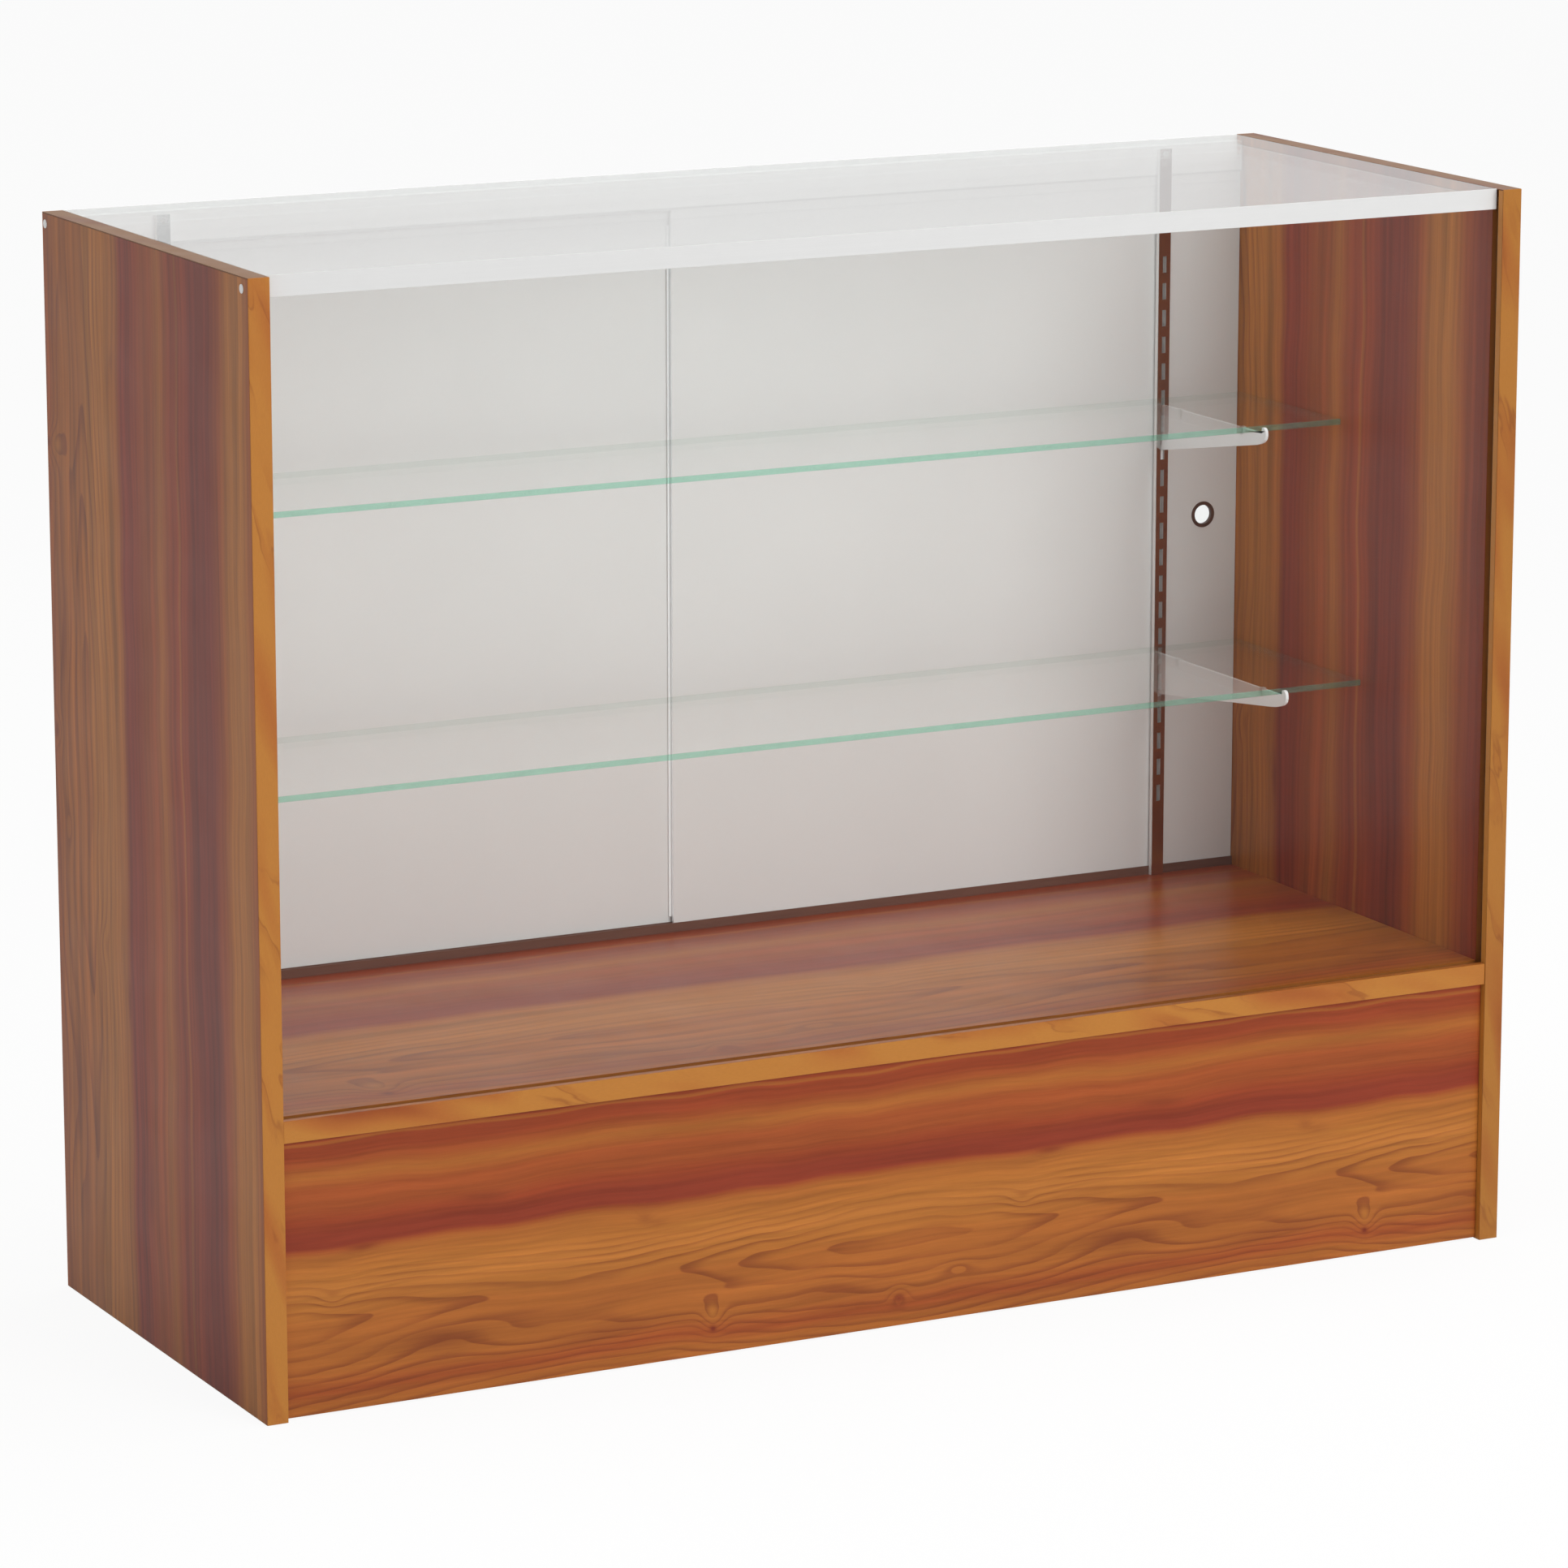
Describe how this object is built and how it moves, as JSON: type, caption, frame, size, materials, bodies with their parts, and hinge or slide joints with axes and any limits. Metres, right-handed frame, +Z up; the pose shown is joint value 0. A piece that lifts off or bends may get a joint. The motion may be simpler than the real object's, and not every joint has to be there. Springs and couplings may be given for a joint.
{
  "type": "glass display showcase",
  "caption": "Full-vision retail display counter with laminated ends, glass front and top, adjustable glass shelves on slotted standards and sliding rear doors.",
  "frame": {"origin": "on the floor under the middle of the case", "axes": "+X to the customer's right along the counter, +Y from the customer's side to the clerk's side, +Z up"},
  "size_m": [1.221, 0.4572, 0.9652],
  "materials": {
    "end_panel_laminate": "satin cherry-walnut laminate, grain upright",
    "edge_band": "satin orange-brown edge band",
    "deck_laminate": "satin cherry-walnut laminate, grain along the case",
    "fascia_laminate": "satin laminate with cathedral grain and a dark red stripe",
    "raw_board": "raw particle board and pine",
    "white_aluminium": "white satin anodised",
    "brown_plastic": "dark brown moulded plastic",
    "door_board": "white melamine-faced hardboard",
    "case_glass": "clear polished float glass",
    "shelf_glass": "clear float glass with green polished edges",
    "standard_steel": "bright zinc-plated rolled steel",
    "bracket_paint": "white powder coat",
    "fastener_zinc": "zinc plated",
    "cap_plastic": "white gloss",
    "bumper_rubber": "clear soft PVC",
    "setting_vinyl": "grey vinyl"
  },
  "bodies": {
    "case": {"left_end_panel": "end_panel_laminate", "right_end_panel": "end_panel_laminate", "base_rear_rail": "end_panel_laminate", "left_panel_front_band": "edge_band", "left_panel_rear_band": "edge_band", "left_panel_top_band": "edge_band", "right_panel_front_band": "edge_band", "right_panel_rear_band": "edge_band", "right_panel_top_band": "edge_band", "deck_front_band": "edge_band", "deck_panel": "deck_laminate", "kick_fascia": "fascia_laminate", "base_centre_support": "raw_board", "left_fascia_corner_block": "raw_board", "right_fascia_corner_block": "raw_board", "front_top_rail": "white_aluminium", "rear_header_rail": "white_aluminium", "bottom_door_track": "brown_plastic", "front_glass": "case_glass", "top_glass": "case_glass", "left_standard": "standard_steel", "right_standard": "standard_steel", "upper_left_bracket": "bracket_paint", "upper_right_bracket": "bracket_paint", "lower_left_bracket": "bracket_paint", "lower_right_bracket": "bracket_paint", "left_standard_screw": "fastener_zinc", "right_standard_screw": "fastener_zinc", "left_front_rail_screw": "fastener_zinc", "left_front_cam_lock": "fastener_zinc", "left_front_cam_bolt": "fastener_zinc", "left_rear_rail_screw": "fastener_zinc", "left_rear_cam_lock": "fastener_zinc", "left_rear_cam_bolt": "fastener_zinc", "right_front_rail_screw": "fastener_zinc", "right_front_cam_lock": "fastener_zinc", "right_front_cam_bolt": "fastener_zinc", "right_rear_rail_screw": "fastener_zinc", "right_rear_cam_lock": "fastener_zinc", "right_rear_cam_bolt": "fastener_zinc", "left_front_screw_cap": "cap_plastic", "left_rear_screw_cap": "cap_plastic", "right_front_screw_cap": "cap_plastic", "right_rear_screw_cap": "cap_plastic", "upper_left_front_bumper": "bumper_rubber", "upper_left_rear_bumper": "bumper_rubber", "upper_right_front_bumper": "bumper_rubber", "upper_right_rear_bumper": "bumper_rubber", "lower_left_front_bumper": "bumper_rubber", "lower_left_rear_bumper": "bumper_rubber", "lower_right_front_bumper": "bumper_rubber", "lower_right_rear_bumper": "bumper_rubber", "front_glass_setting_strip": "setting_vinyl"},
    "left_door": {"left_door": "door_board", "left_door_finger_pull": "brown_plastic"},
    "right_door": {"right_door": "door_board", "right_door_finger_pull": "brown_plastic"},
    "upper_shelf": {"upper_shelf_glass": "shelf_glass"},
    "lower_shelf": {"lower_shelf_glass": "shelf_glass"}
  },
  "joints": [
    {"name": "right_door_slide", "type": "slide", "parent": "case", "child": "right_door", "axis": [-1, 0, 0], "range_m": [0, 0.575]},
    {"name": "left_door_slide", "type": "slide", "parent": "case", "child": "left_door", "axis": [1, 0, 0], "range_m": [0, 0.575]},
    {"name": "upper_shelf_lift", "type": "slide", "parent": "case", "child": "upper_shelf", "axis": [0, 0, 1], "range_m": [0, 0.05]},
    {"name": "lower_shelf_lift", "type": "slide", "parent": "case", "child": "lower_shelf", "axis": [0, 0, 1], "range_m": [0, 0.05]}
  ]
}
